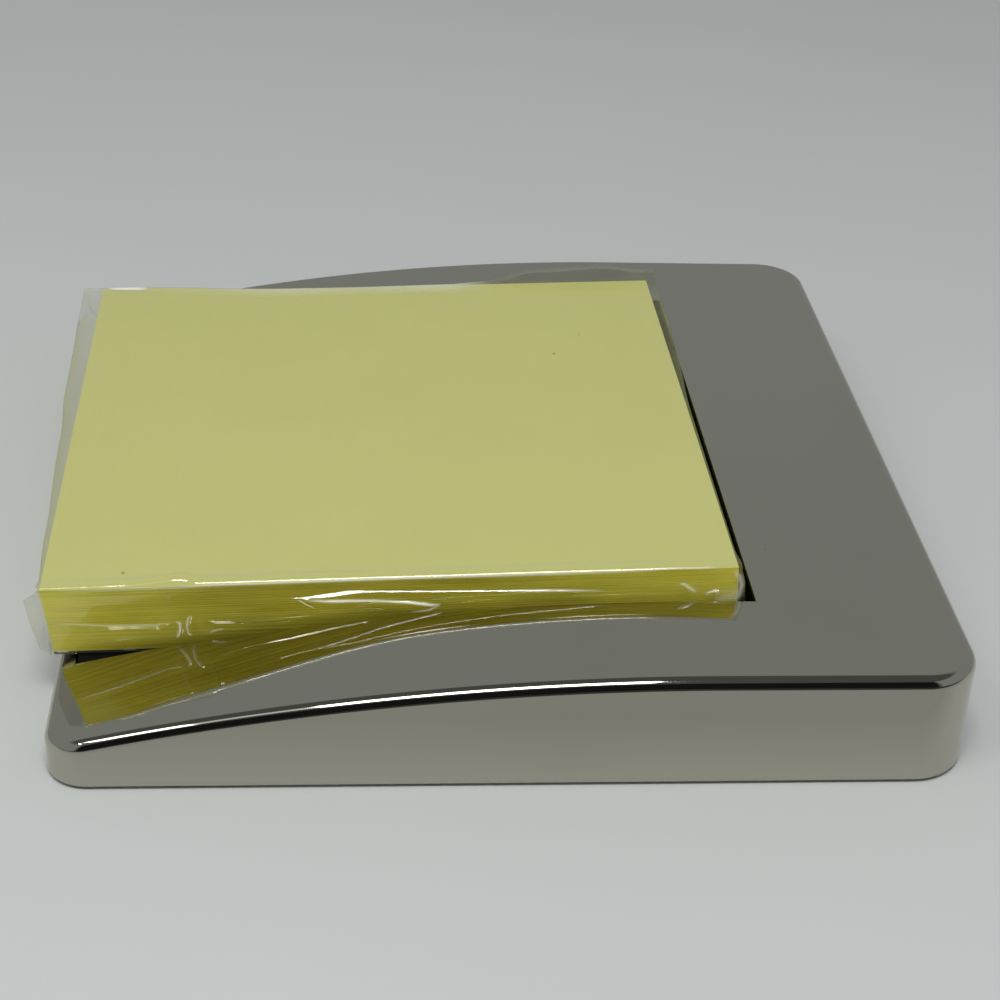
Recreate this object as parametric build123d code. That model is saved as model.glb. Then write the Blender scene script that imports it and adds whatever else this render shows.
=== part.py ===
from build123d import *
from math import cos, radians, sqrt, tan
import os

# Memo holder: a polished cover with a sunk pocket that holds a film-wrapped pad of square notes.
# Millimetres. The origin is at the middle of the underside: X to the right, Y to the back, Z up.

# Pad of notes
pad_side = 76.2
pad_thickness = 8.4
pad_lean = 0.75
backing_thickness = 0.3

# Film sleeve round the pad, open at its left and right ends
film_thickness = 0.1
film_slack_top = 0.15
film_slack_front = 0.4
film_slack_back = 0.3
film_skirt_left = 2.0
film_skirt_right = 0.5

# Pocket that the pad lies in
pocket_slope_degrees = 2.2
pocket_play_front = 1.6
pocket_play_back = 0.6
pocket_play_right = 1.5
pad_overhang = 0.24
pad_seat_gap = 0.1

# Cover
front_rail = 15.4
back_rail = 14.2
right_rail = 22.6
left_strip = 2.2
high_height = 13.6
low_height = 5.0
flat_width = 28.7
left_corner_radius = 4.6
right_corner_radius = 6.5
top_edge_radius = 1.3
skirt_edge_radius = 0.4
cover_wall = 1.2
skirt_lift = 0.3

# Pocket tray under the cover's window
tray_wall = 1.2
tray_floor = 1.0
tray_flange_width = 2.5
tray_flange_thickness = 1.0
tray_floor_proud = 0.06
tray_window_gap = 0.2
tray_seat_gap = 0.1
tray_setback = 0.15
tray_wall_run_out = 9.0
post_diameter = 4.0
post_x_shares = (0.2, 0.5, 0.85)
post_y_shares = (0.18, 0.82)

# Base plate and felt
plate_thickness = 1.2
plate_gap = 0.4
felt_thickness = 1.0

# Screws and the bosses that take them
boss_diameter = 5.6
boss_inset = 7.6
boss_skin = 1.0
screw_diameter = 2.4
screw_head_diameter = 4.6
screw_head_land = 0.1
screw_gap = 0.1
screw_tip_gap = 0.3
recess_length = 2.6
recess_width = 0.7
recess_depth = 0.7

# How far a cutting shape runs past what it cuts
overrun = 5.0

# Sizes that follow from those above
slope = radians(pocket_slope_degrees)
cover_width = right_rail + pocket_play_right + pad_side * cos(slope) - pad_overhang
pocket_length = pocket_play_front + pad_side + pocket_play_back
cover_depth = front_rail + pocket_length + back_rail
cover_left = -cover_width / 2
cover_right = cover_width / 2
window_left = cover_left + left_strip
window_right = cover_right - right_rail
window_front = front_rail - cover_depth / 2
window_back = cover_depth / 2 - back_rail

crown_run = cover_width - flat_width
crown_drop = high_height - low_height
crown_radius = (crown_run**2 + crown_drop**2) / (2 * crown_drop)
crown_x = cover_right - flat_width

plate_low = felt_thickness
plate_top = felt_thickness + plate_thickness
ceiling = high_height + overrun


def crown_height(x, drop=0):
    """Height of the cover's top line at x, or of the line a given drop below it."""
    if x >= crown_x:
        return high_height - drop
    return high_height - crown_radius + sqrt((crown_radius - drop)**2 - (crown_x - x)**2)


def floor_height(x, drop=0):
    """Height of the sloping pocket floor at x, or of the plane a given depth below it."""
    at_window_left = crown_height(window_left) + tray_floor_proud
    return at_window_left + (x - window_left) * tan(slope) - drop / cos(slope)


def between(x_low, x_high, y_low, y_high, z_low, z_high):
    """Box between two opposite corners."""
    block = Box(x_high - x_low, y_high - y_low, z_high - z_low, align=(Align.MIN, Align.MIN, Align.MIN))
    return Pos(x_low, y_low, z_low) * block


def rounded_prism(inset, z_low, z_high):
    """Upright prism on the cover's rounded footprint, drawn in by an inset."""
    outline = Rectangle(cover_width - 2 * inset, cover_depth - 2 * inset)
    outline = fillet(outline.vertices().group_by(Axis.X)[0], left_corner_radius - inset)
    outline = fillet(outline.vertices().group_by(Axis.X)[-1], right_corner_radius - inset)
    return extrude(Pos(0, 0, z_low) * outline, z_high - z_low)


def across_depth(face):
    """Extrudes a side profile past the front and back of the cover."""
    return extrude(Plane.XZ * face, cover_depth / 2 + overrun, both=True)


def under_crown(drop):
    """Everything under the cover's top surface, lowered by a drop."""
    left = cover_left - overrun
    right = cover_right + overrun
    middle = (left + crown_x) / 2
    start = (crown_x, high_height - drop)
    end = (left, crown_height(left, drop))
    arc = ThreePointArc(start, (middle, crown_height(middle, drop)), end)
    sides = Polyline(end, (left, -overrun), (right, -overrun), (right, high_height - drop), start)
    return across_depth(make_face(arc + sides))


def under_floor(drop):
    """Everything under the pocket floor's top plane, lowered by a drop."""
    left = cover_left - overrun
    right = cover_right + overrun
    corners = [
        (left, -overrun),
        (right, -overrun),
        (right, floor_height(right, drop)),
        (left, floor_height(left, drop)),
    ]
    return across_depth(make_face(Polyline(*corners, close=True)))


def boss_places():
    """Centres of the four screws, one near each corner."""
    x = cover_width / 2 - boss_inset
    y = cover_depth / 2 - boss_inset
    return [(-x, -y), (x, -y), (x, y), (-x, y)]


def screw_hole_top():
    """Height of the blind screw holes' ends, set by the lowest boss."""
    lowest_x = cover_left + boss_inset - screw_diameter / 2 - screw_gap
    return crown_height(lowest_x) - boss_skin


def make_cover():
    """Polished shell with its crowned top, skirt, window and screw bosses."""
    shell = rounded_prism(0, skirt_lift, ceiling) & under_crown(0)
    rim = [
        edge
        for edge in shell.edges()
        if edge.bounding_box().min.Z > skirt_lift + top_edge_radius
        and abs(edge.center().X) + abs(edge.center().Y) > abs(crown_x) + top_edge_radius
    ]
    shell = fillet(rim, top_edge_radius)
    hem = [edge for edge in shell.edges() if edge.bounding_box().max.Z < skirt_lift + skirt_edge_radius]
    shell = fillet(hem, skirt_edge_radius)
    shell -= rounded_prism(cover_wall, -overrun, ceiling) & under_crown(cover_wall)
    shell -= between(window_left, window_right, window_front, window_back, -overrun, ceiling)
    boss_limit = under_crown(cover_wall / 2)
    hole_radius = screw_diameter / 2 + screw_gap
    for x, y in boss_places():
        foot = Pos(x, y, plate_top)
        boss = foot * Cylinder(boss_diameter / 2, ceiling, align=(Align.CENTER, Align.CENTER, Align.MIN))
        shell += boss & boss_limit
    for x, y in boss_places():
        depth = screw_hole_top() - plate_low
        hole = Cylinder(hole_radius, depth, align=(Align.CENTER, Align.CENTER, Align.MIN))
        shell -= Pos(x, y, plate_low) * hole
    return shell


def make_pocket_tray():
    """Black tray that lines the window: sloping floor, three walls, flange and posts."""
    seat = under_crown(cover_wall + tray_seat_gap)
    wall_left = window_left + tray_wall_run_out
    inner_right = window_right + tray_setback
    inner_front = window_front - tray_setback
    inner_back = window_back + tray_setback
    outer_right = inner_right + tray_wall
    outer_front = inner_front - tray_wall
    outer_back = inner_back + tray_wall
    flange_right = outer_right + tray_flange_width
    flange_front = outer_front - tray_flange_width
    flange_back = outer_back + tray_flange_width
    gap = tray_window_gap

    floor_outline = between(
        window_left + gap, window_right - gap, window_front + gap, window_back - gap, 0, ceiling
    )
    tray = floor_outline & under_floor(0)

    pocket = between(cover_left, inner_right, inner_front, inner_back, 0, ceiling) - under_floor(0)
    walls = between(wall_left, outer_right, outer_front, outer_back, 0, ceiling) & seat
    tray += walls - pocket
    tray -= under_floor(tray_floor)

    flange = between(wall_left, flange_right, flange_front, flange_back, 0, ceiling) & seat
    flange -= under_crown(cover_wall + tray_seat_gap + tray_flange_thickness)
    flange -= between(cover_left, inner_right, inner_front, inner_back, 0, ceiling)
    tray += flange

    post_limit = under_floor(tray_floor / 2)
    for x_share in post_x_shares:
        for y_share in post_y_shares:
            x = window_left + x_share * (window_right - window_left)
            y = window_front + y_share * pocket_length
            post = Cylinder(post_diameter / 2, ceiling, align=(Align.CENTER, Align.CENTER, Align.MIN))
            tray += (Pos(x, y, plate_top) * post) & post_limit
    return tray


def make_base_plate():
    """Flat plate that closes the underside, with countersunk screw holes."""
    plate = rounded_prism(cover_wall + plate_gap, plate_low, plate_top)
    for x, y in boss_places():
        plate -= Pos(x, y, plate_low) * screw_body(screw_gap, overrun)
    return plate


def screw_body(growth, shank_length):
    """Countersunk screw about Z, head face at the bottom, grown all round for its hole."""
    head_radius = screw_head_diameter / 2 + growth
    shank_radius = screw_diameter / 2 + growth
    head_top = plate_thickness - screw_head_land
    corners = [
        (0, 0),
        (head_radius, 0),
        (shank_radius, head_top),
        (shank_radius, plate_thickness + shank_length),
        (0, plate_thickness + shank_length),
    ]
    return revolve(Plane.XZ * make_face(Polyline(*corners, close=True)), Axis.Z)


def make_base_screws():
    """The four screws, each with a cross recess in its head."""
    shank_length = screw_hole_top() - plate_top - screw_tip_gap
    arm = Box(recess_length, recess_width, 2 * recess_depth)
    cross = arm + Rot(0, 0, 90) * arm
    screw = screw_body(0, shank_length) - cross
    return Compound(children=[Pos(x, y, plate_low) * screw for x, y in boss_places()])


def make_base_felt():
    """Felt sheet under the base plate, which the holder stands on."""
    return rounded_prism(cover_wall + plate_gap, 0, plate_low)


def pad_place():
    """Where the pad lies: its lowest left edge on the pocket floor, along the slope."""
    x = cover_left - pad_overhang
    return Location((x, 0, floor_height(x)), (0, -pocket_slope_degrees, 0))


def pad_layer(low, high):
    """A layer of the leaning stack between two heights over its underside."""
    y_front = window_front + pocket_play_front
    shift_low = -pad_lean * low / pad_thickness
    shift_high = -pad_lean * high / pad_thickness
    lift = pad_seat_gap + film_thickness
    corners = [
        (shift_low, lift + low),
        (shift_low + pad_side, lift + low),
        (shift_high + pad_side, lift + high),
        (shift_high, lift + high),
    ]
    profile = Plane.XZ.offset(-y_front) * make_face(Polyline(*corners, close=True))
    return pad_place() * extrude(profile, -pad_side)


def make_note_block():
    """The stack of notes."""
    return pad_layer(backing_thickness, pad_thickness)


def make_backing_sheet():
    """The card under the lowest note."""
    return pad_layer(0, backing_thickness)


def make_wrapper():
    """Clear film sleeve round the stack, with a loose skirt at each end."""
    y_front = window_front + pocket_play_front - film_slack_front
    y_back = window_back - pocket_play_back + film_slack_back
    x_left = -pad_lean - film_skirt_left
    x_right = pad_side + film_skirt_right
    z_low = pad_seat_gap + film_thickness
    z_high = z_low + pad_thickness + film_slack_top
    film = film_thickness
    sleeve = between(x_left, x_right, y_front - film, y_back + film, z_low - film, z_high + film)
    sleeve -= between(x_left - overrun, x_right + overrun, y_front, y_back, z_low, z_high)
    return pad_place() * sleeve


nodes = {
    "cover": make_cover(),
    "pocket_tray": make_pocket_tray(),
    "base_plate": make_base_plate(),
    "base_screws": make_base_screws(),
    "base_felt": make_base_felt(),
    "note_block": make_note_block(),
    "backing_sheet": make_backing_sheet(),
    "wrapper": make_wrapper(),
}

os.makedirs("parts", exist_ok=True)
for name, shape in nodes.items():
    export_step(shape, f"parts/{name}.step")
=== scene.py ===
import random
from math import cos, pi, radians, sin, sqrt

import bpy
import numpy as np
from mathutils import Matrix, Vector
from mathutils.geometry import delaunay_2d_cdt


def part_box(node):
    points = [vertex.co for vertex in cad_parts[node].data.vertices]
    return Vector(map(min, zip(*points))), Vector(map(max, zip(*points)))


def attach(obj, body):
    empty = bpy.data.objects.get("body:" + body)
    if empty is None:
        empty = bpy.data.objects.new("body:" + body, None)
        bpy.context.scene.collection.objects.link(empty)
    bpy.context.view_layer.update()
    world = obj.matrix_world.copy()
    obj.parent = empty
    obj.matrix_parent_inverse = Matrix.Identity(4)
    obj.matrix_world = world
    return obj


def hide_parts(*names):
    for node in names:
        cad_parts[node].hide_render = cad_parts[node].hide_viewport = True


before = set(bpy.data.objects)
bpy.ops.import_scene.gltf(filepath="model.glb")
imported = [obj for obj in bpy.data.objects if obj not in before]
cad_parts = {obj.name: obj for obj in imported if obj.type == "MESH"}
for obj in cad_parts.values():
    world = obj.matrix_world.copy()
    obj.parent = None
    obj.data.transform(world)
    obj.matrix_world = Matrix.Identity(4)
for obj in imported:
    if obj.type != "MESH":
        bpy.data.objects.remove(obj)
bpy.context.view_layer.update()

# Memo holder: a mirror-polished cover with a sunk pocket, and a film-wrapped pad of notes in it.
# Sizes and places are in millimetres and become metres where a mesh or a lamp is made.
# X runs to the right, Y to the back and Z up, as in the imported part.
mm = 0.001
up = Vector((0, 0, 1))

# Cover, from its packed box and the sizes of its forms
cover_low, cover_high = (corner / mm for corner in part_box("cover"))
low_height = 5.0
flat_width = 28.7
left_corner_radius = 4.6
right_corner_radius = 6.5
top_edge_radius = 1.3
skirt_edge_radius = 0.4
cover_wall = 1.2
front_rail = 15.4
back_rail = 14.2
right_rail = 22.6
left_strip = 2.2
window_edge_radius = 0.1
boss_diameter = 5.6
boss_bore = 2.6
boss_inset = 7.6
boss_bore_top = 5.47
cover_corner_steps = 24
cover_side_steps = 48
cover_edge_steps = 12
cover_grid_step = 3.0
boss_steps = 32
fill_tolerance = 1e-6

crown_x = cover_high.x - flat_width
crown_run = crown_x - cover_low.x
crown_drop = cover_high.z - low_height
crown_radius = (crown_run**2 + crown_drop**2) / (2 * crown_drop)
window_left = cover_low.x + left_strip
window_right = cover_high.x - right_rail
window_front = cover_low.y + front_rail
window_back = cover_high.y - back_rail

# Pad of notes, measured along and above its sloping underside
notes_low, notes_high = (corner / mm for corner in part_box("note_block"))
card_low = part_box("backing_sheet")[0] / mm
pad_slope = radians(2.2)
pad_side = notes_high.y - notes_low.y
pad_front = notes_low.y
pad_back = notes_high.y
pad_thickness = 8.4
pad_lean = 0.75
card_thickness = 0.3
sheet_count = 81
sheet_fill_share = 0.985
sheet_jitter = 0.025
sheet_stations = 24
sheet_seed = 7
pad_along = Vector((cos(pad_slope), 0, sin(pad_slope)))
pad_upward = Vector((-sin(pad_slope), 0, cos(pad_slope)))
pad_corner = Vector((card_low.x + card_thickness * (pad_lean / pad_thickness), 0, card_low.z))
# The notes' free left end is swollen and curled up, and the sheets there have slid forward a little
swell_places = [-1.0, 6.0, 16.0, 42.0]
swell_shares = [0.3, 1.0, 1.0, 0.0]
curl_places = [4.0, 26.0]
curl_shares = [1.0, 0.0]
pad_swell = 0.6
pad_slide = 1.05
pad_curl = 0.65
# The upper sheets have slid a little towards the right end, less so at the back
right_slide = 0.6
right_slide_places = [30.0, 76.2]
right_slide_shares = [0.0, 1.0]
right_slide_ys = [20.0, 39.2]
right_slide_back_shares = [1.0, 0.5]
# Painted light and shade: the sheets' cut edges are painted lighter towards both ends of the pad and darker
# in its middle
edge_painted_light_places = [0.0, 10.0, 24.0, 48.0, 64.0, 76.2]
edge_painted_light_shares = [0.92, 0.6, 0.22, 0.22, 0.62, 0.9]
edge_tone_spread_share = 0.12

# Film round the pad: its flat size, clearances, roundings and grid
film_lap = 4.0
film_lap_inset = 1.0
film_lap_gap = 0.015
film_lap_rows = 14
film_under_gap = 0.06
film_low_radius = 0.25
film_low_stride = 3
film_top_gap = 0.08
film_back_gap = 0.2
film_back_rows = 24
film_back_draw_rate = 1.8
film_front_step = 0.08
film_fine_step = 0.13
film_coarse_step = 0.28
film_seam_start = 11.0
film_seam_end = 20.5
film_corner_steps = 14
film_end_steps = 14
film_end_gap = 0.12
# Where the front's creases fade into its edges, and where the top's height settles behind them
film_fade_rate = 20.0
film_settle_run = 1.5
# Rows over the top, closest near its edges: shares of the way where a stretch starts and ends, and its rows
film_top_row_shares = [(0.0, 0.06, 16), (0.075, 0.9, 50), (0.905, 1.0, 70)]
# Gentle waves in the film: how far they stand out, how long and wide they are, and their random seed
ripple_waves = 7
ripple_stretch_shares = (0.6, 1.6)
ripple_lean_share = 0.8
front_ripple_depth = 0.05
front_ripple = {"length": 23.0, "width": 6.0, "seed": 3}
top_ripple_depth = 0.03
top_ripple = {"length": 40.0, "width": 25.0, "seed": 5}
end_crinkle_depth = 0.12
end_crinkle_shift = 9.0
end_crinkle = {"length": 7.0, "width": 5.0, "seed": 11}

# Creases that catch the light on the film's front: points (distance from the pad's left end, height of the
# crease's upper line above the pad's underside, height of its slanted upper side)
left_crease = [
    (0.2, 4.7, 0.0), (1.5, 4.6, 0.1), (6.6, 4.4, 0.13),
    (9.1, 4.3, 0.1), (12.1, 4.2, 0.13), (14.2, 4.5, 0.0),
]
lens_upper_crease = [
    (23.6, 6.8, 0.0), (28.3, 6.9, 0.18), (30.7, 7.2, 0.38), (33.5, 7.5, 0.34), (36.0, 7.4, 0.22),
    (41.2, 7.2, 0.2), (50.0, 6.9, 0.19), (56.6, 6.7, 0.15), (61.1, 6.4, 0.0),
]
lens_lower_crease = [
    (27.6, 6.8, 0.0), (29.6, 6.7, 0.24), (33.6, 6.6, 0.24), (36.7, 6.3, 0.2),
    (39.8, 6.0, 0.22), (42.1, 5.7, 0.28), (43.4, 5.4, 0.0),
]
lens_tip_crease = [(39.4, 4.4, 0.0), (41.7, 4.7, 0.14), (42.8, 5.1, 0.1), (43.4, 5.4, 0.0)]
small_creases = [
    [(42.8, 4.8, 0.0), (45.4, 4.8, 0.08), (47.7, 4.9, 0.0)],
    [(17.0, 2.1, 0.0), (17.8, 2.7, 0.14), (18.6, 2.9, 0.0)],
    [(17.4, 4.5, 0.0), (18.4, 4.5, 0.1), (20.8, 4.4, 0.1), (21.8, 4.3, 0.0)],
    [(0.4, 0.8, 0.0), (2.2, 0.7, 0.1), (4.1, 0.7, 0.0)],
    [(8.0, 0.9, 0.0), (9.0, 0.9, 0.1), (9.9, 0.9, 0.0)],
    [(11.8, 1.7, 0.0), (12.5, 1.8, 0.13), (13.2, 1.8, 0.0)],
    [(70.1, 7.0, 0.0), (70.6, 6.8, 0.2), (71.3, 6.3, 0.24), (71.9, 5.8, 0.0)],
    [(72.6, 5.4, 0.0), (73.5, 5.9, 0.14), (74.2, 6.0, 0.2), (74.7, 5.4, 0.0)],
]
front_creases = [left_crease, lens_upper_crease, lens_lower_crease, lens_tip_crease] + small_creases
crease_taper_power = 4
crease_rise_share = 1.3
crease_fall_share = 0.25
# A crease low on the front that slants so little that its light is seen only in the polished cover
low_crease = [
    (19.8, 4.4, 0.0), (21.4, 4.5, 0.3), (26.2, 4.9, 0.36),
    (30.9, 5.1, 0.36), (34.8, 5.2, 0.3), (35.8, 5.2, 0.0),
]
low_crease_rise_share = 0.42
# Small upright folds where the film's seam puckers: points, how far they stand out, and their half width
left_hook = [(14.2, 4.5), (14.6, 4.2), (14.5, 3.4), (14.2, 2.6), (13.8, 2.2)]
right_hook = [(16.0, 5.2), (15.6, 4.8), (15.3, 3.9), (15.3, 2.8), (15.7, 2.3)]
seam_folds = [
    (left_hook, 0.34, 0.17),
    (right_hook, 0.3, 0.16),
    ([(13.9, 8.0), (13.6, 5.0), (13.9, 2.0)], 0.12, 0.3),
    ([(17.3, 8.0), (17.0, 5.0), (17.2, 2.0)], 0.12, 0.3),
]
# Painted highlights: white lines painted into the film where its creases, seam hooks, rims and top edge
# catch the light: points on its front, how white, and their half width
lens_lower_line = [
    (28.3, 6.7), (33.6, 6.4), (36.7, 6.1), (39.8, 5.8), (43.0, 5.3), (41.7, 4.8), (39.6, 4.4),
]
right_rim_line = [(75.6, 8.3), (76.3, 7.4), (76.5, 6.4), (76.3, 5.2), (75.9, 4.4)]
top_edge_line = [(1.0, 8.4), (10.0, 8.5), (20.0, 8.6), (40.0, 8.6), (68.0, 8.5)]
painted_highlight_lines = [
    (left_hook, 0.9, 0.14),
    (right_hook, 0.7, 0.11),
    (lens_lower_line, 0.9, 0.12),
    (right_rim_line, 0.5, 0.3),
    (top_edge_line, 0.5, 0.13),
    ([(69.5, 6.9), (70.0, 6.8), (70.7, 6.3), (71.4, 5.7)], 0.95, 0.14),
    ([(72.4, 5.4), (73.1, 5.7), (73.6, 5.9), (74.0, 5.3)], 0.8, 0.13),
    ([(73.4, 4.6), (76.4, 5.0)], 0.3, 0.9),
    ([(0.5, 4.5), (6.5, 4.2), (12.0, 4.1), (14.2, 4.4)], 0.4, 0.12),
    ([(66.0, 8.7), (70.0, 8.7), (73.6, 8.6)], 0.6, 0.14),
    ([(50.0, 6.8), (56.6, 6.6), (61.4, 6.3)], 0.7, 0.1),
    ([(0.3, 0.5), (1.0, 0.5), (1.8, 0.5)], 0.8, 0.14),
    ([(7.6, 0.6), (8.4, 0.6), (9.2, 0.6)], 0.9, 0.13),
    ([(17.4, 2.7), (18.4, 3.0), (19.3, 3.2)], 0.6, 0.1),
]
# Painted highlight: a white glint painted onto the film's top beside its back edge: points (distance from
# the left end, place across)
back_glint = [(0.6, 39.0), (3.0, 38.8), (6.4, 38.6)]
back_glint_share = 0.95
back_glint_half_width = 0.55
# Painted reflection: white painted where the film rolls over the pad's back edge, for the bright room that
# the raised film mirrors there
back_painted_reflection_places = [8.0, 30.0, 48.0, 55.0]
back_painted_reflection_shares = [0.1, 0.6, 0.6, 0.0]
back_painted_reflection_run = 3.2
back_painted_light_drop = 1.2
# How far the film stands off the pad's front and bulges at half height, how round its front top edge is
# and how far it lifts there
front_gap_places = [0.0, 9.0, 15.5, 18.0, 30.0, 50.0, 66.0, 76.2]
front_gaps = [0.25, 0.35, 0.45, 0.38, 0.4, 0.42, 0.4, 0.35]
front_bulges = [0.3, 0.6, 0.5, 0.45, 0.35, 0.3, 0.3, 0.2]
front_edge_places = [0.0, 9.0, 15.4, 17.6, 30.0, 50.0, 66.0, 76.2]
front_edge_radii = [0.6, 0.7, 1.2, 0.75, 0.75, 0.75, 0.75, 0.6]
front_edge_lifts = [0.3, 0.42, 0.95, 0.45, 0.45, 0.42, 0.36, 0.2]
front_lift_run = 4.0
# The same along the back, where the film is slack towards the right
back_edge_places = [0.0, 6.0, 20.0, 36.0, 48.0, 53.0, 60.5, 70.0, 76.2]
back_edge_radii = [0.3, 0.3, 0.7, 1.6, 0.8, 0.5, 0.5, 0.5, 0.4]
back_edge_lifts = [0.1, 0.1, 0.1, 0.35, 0.15, 0.3, 1.5, 1.8, 1.2]
back_bulges = [0.0, 0.0, 0.1, 0.2, 0.2, 0.3, 1.4, 1.6, 1.0]
back_lift_run = 6.0
# How far the film's folded ends stand out past the pad: over its top from front to back, and up its front
left_ear = {
    "ys": [-37.0, -26.6, -3.3, 9.0, 39.0],
    "tops": [0.2, 0.65, 1.35, 2.05, 2.6],
    "heights": [0.3, 1.0, 5.5, 7.3, 8.5],
    "fronts": [0.4, 1.35, 1.75, 1.85, 0.3],
}
right_ear = {
    "ys": [-37.0, -33.0, -20.0, 0.0, 14.0, 26.0, 39.0],
    "tops": [0.4, 0.12, 0.12, 0.15, 0.7, 1.1, 1.2],
    "heights": [0.3, 4.0, 6.5, 8.5],
    "fronts": [0.4, 0.8, 0.7, 0.35],
}
ear_low = 0.4
ear_front_run = 2.0
ear_rise_shares = [0.5, 0.9]
# How far the folded ends are gathered towards half height and drawn in from front and back
end_gather_share = 0.97
end_narrow_share = 0.06

# Felt under the base plate
felt_edge_radius = 0.3
felt_edge_steps = 6

# Materials: colours, grain and depth of patterns, and shares between which a pattern or roughness varies
mid_span_shares = (0.3, 0.7)
high_span_shares = (0.45, 0.75)
black = (0, 0, 0, 1)
metal_finish = {"Metallic": 1.0}
nickel = (0.48, 0.455, 0.385, 1)
nickel_dull = (0.45, 0.43, 0.365, 1)
nickel_cloud_grain = 30.0
nickel_dull_shares = (0, 0.5)
nickel_smear_grain = 9.0
nickel_smear_shares = (0.35, 0.75)
nickel_roughness_shares = (0.03, 0.065)
dust = (0.3, 0.3, 0.28, 1)
dust_spacing = 16.0
dust_size = 0.35
tray_dark = (0.003, 0.003, 0.003, 1)
tray_light = (0.007, 0.007, 0.0065, 1)
tray_grain = 0.25
tray_grain_depth = 0.03
tray_smear_grain = 4.0
tray_roughness_shares = (0.5, 0.65)
tray_finish = {"Specular IOR Level": 0.12}
plate_dark = (0.02, 0.02, 0.021, 1)
plate_light = (0.034, 0.034, 0.034, 1)
plate_cloud_grain = 12.0
plate_smear_grain = 6.0
plate_roughness_shares = (0.32, 0.45)
plate_peel_grain = 0.8
plate_peel_depth = 0.01
zinc_cool = (0.58, 0.6, 0.62, 1)
zinc_warm = (0.7, 0.69, 0.64, 1)
zinc_bloom_grain = 0.9
zinc_smear_grain = 0.4
zinc_roughness_shares = (0.2, 0.38)
felt_dark = (0.008, 0.008, 0.009, 1)
felt_light = (0.032, 0.032, 0.034, 1)
felt_fibre_grain = 0.18
felt_fibre_depth = 0.12
felt_fibre_stretch_shares = (1, 1, 0.4)
felt_finish = {"Roughness": 0.95, "Sheen Weight": 0.3, "Sheen Roughness": 0.5, "Specular IOR Level": 0.1}
paper = (0.62, 0.618, 0.222, 1)
paper_pale = (0.656, 0.653, 0.237, 1)
paper_cloud_grain = 14.0
paper_fibre_grain = 0.35
paper_fibre_depth = 0.006
paper_speck = (0.33, 0.33, 0.14, 1)
paper_speck_spacing = 9.0
paper_speck_size = 0.3
paper_finish = {"Roughness": 0.85, "Specular IOR Level": 0.2}
# Darkest and lightest colours of the cut edges, spanning painted shade and light as well as each sheet's
# own variation
edge_dark = (0.42, 0.365, 0.008, 1)
edge_light = (0.77, 0.71, 0.075, 1)
edge_streak_grain = 3.0
edge_streak_stretch_shares = (0.3, 0.3, 2.0)
edge_streak_shares = (-0.2, 0.2)
edge_finish = {"Roughness": 0.8, "Specular IOR Level": 0.2}
# Painted shade: the backing card is painted near black for the shade under the pad
card_painted_shade_dark = (0.042, 0.038, 0.03, 1)
card_painted_shade_light = (0.058, 0.054, 0.046, 1)
card_pulp_grain = 0.5
card_pulp_depth = 0.02
card_finish = {"Roughness": 0.9}
film_clear = (0.945, 0.945, 0.91, 1)
# Colour of the film's milky patches, and of the highlights and reflection painted onto it
film_haze_and_painted_light_finish = {"Base Color": (0.95, 0.95, 0.76, 1), "Roughness": 0.6, "Specular IOR Level": 0.0}
film_gloss_finish = {"Color": (1, 1, 1, 1), "Roughness": 0.08}
film_patch_grain = 8.0
film_patch_shares = (0.004, 0.02)
film_facing_share = 0.075
film_slant_power = 5.0

# Camera, fitted to the object's edges in the photograph; angles in radians
camera_place = (-20.711, -229.458, 139.457)
camera_yaw = 0.0988
camera_pitch = 0.5319
camera_roll = -0.0527
camera_lens = 74.892
camera_sensor = 36.0
camera_clip = 10.0

# Studio: a pale table, soft lamps above the camera and even light all round
table_colour = (0.57, 0.595, 0.58, 1)
table_shade = (0.55, 0.575, 0.565, 1)
table_cloud_grain = 40.0
table_finish = {"Roughness": 0.9, "Specular IOR Level": 0.1}
table_reach = 4000.0
# Polished pieces mirror the table as falling into shade towards the camera: near, far, share left when far
mirrored_shade_steps = [(-56.0, -66.0, 0.78), (-80.0, -100.0, 0.1)]
# Lamps: left side, right side and share of the full brightness
lamp_spans = [(-430.0, -372.0, 0.55), (-350.0, -264.0, 0.55), (-264.0, -160.0, 0.05), (-160.0, 92.0, 1.15)]
lamp_near = -120.0
lamp_far = -420.0
lamp_height = 600.0
lamp_brightness = 18.0
lamp_softness = 3.0
# Room: what is seen, what lights the part, and the levels that polished pieces mirror; angles in degrees
backdrop = (0.47, 0.505, 0.505, 1)
around = (0.37, 0.37, 0.37, 1)
room_tint = (0.93, 1.0, 1.0)
room_levels = (0.337, 0.11)
room_high_angles = (46.0, 54.0)
room_dark_share = 0.96
room_dark_side_angles = (30.6, 41.4)
room_dark_top_angles = (47.5, 55.0)


def crown_height(x, drop=0):
    """Height of the cover's top line at x, or of the line a given drop below it."""
    if x >= crown_x:
        return cover_high.z - drop
    return cover_high.z - crown_radius + sqrt((crown_radius - drop)**2 - (crown_x - x)**2)


def crown_normal(x, drop=0):
    """Upward normal of the cover's top at x."""
    if x >= crown_x:
        return up.copy()
    lean = (crown_x - x) / (crown_radius - drop)
    return Vector((-lean, 0, sqrt(1 - lean**2)))


def in_metres(points):
    """Points in millimetres as tuples in metres."""
    return [tuple(coordinate * mm for coordinate in point) for point in points]


def even_shares(count):
    """Shares from 0 to 1 in even steps."""
    return [step / count for step in range(count + 1)]


def add_object(name, data):
    """A new object in the scene."""
    made = bpy.data.objects.new(name, data)
    bpy.context.scene.collection.objects.link(made)
    return made


def add_piece(name, mesh, body, replaced, materials):
    """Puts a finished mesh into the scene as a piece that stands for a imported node."""
    piece = add_object(name, mesh)
    for material in materials:
        mesh.materials.append(material)
    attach(piece, body)
    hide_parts(replaced)
    return piece


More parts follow.
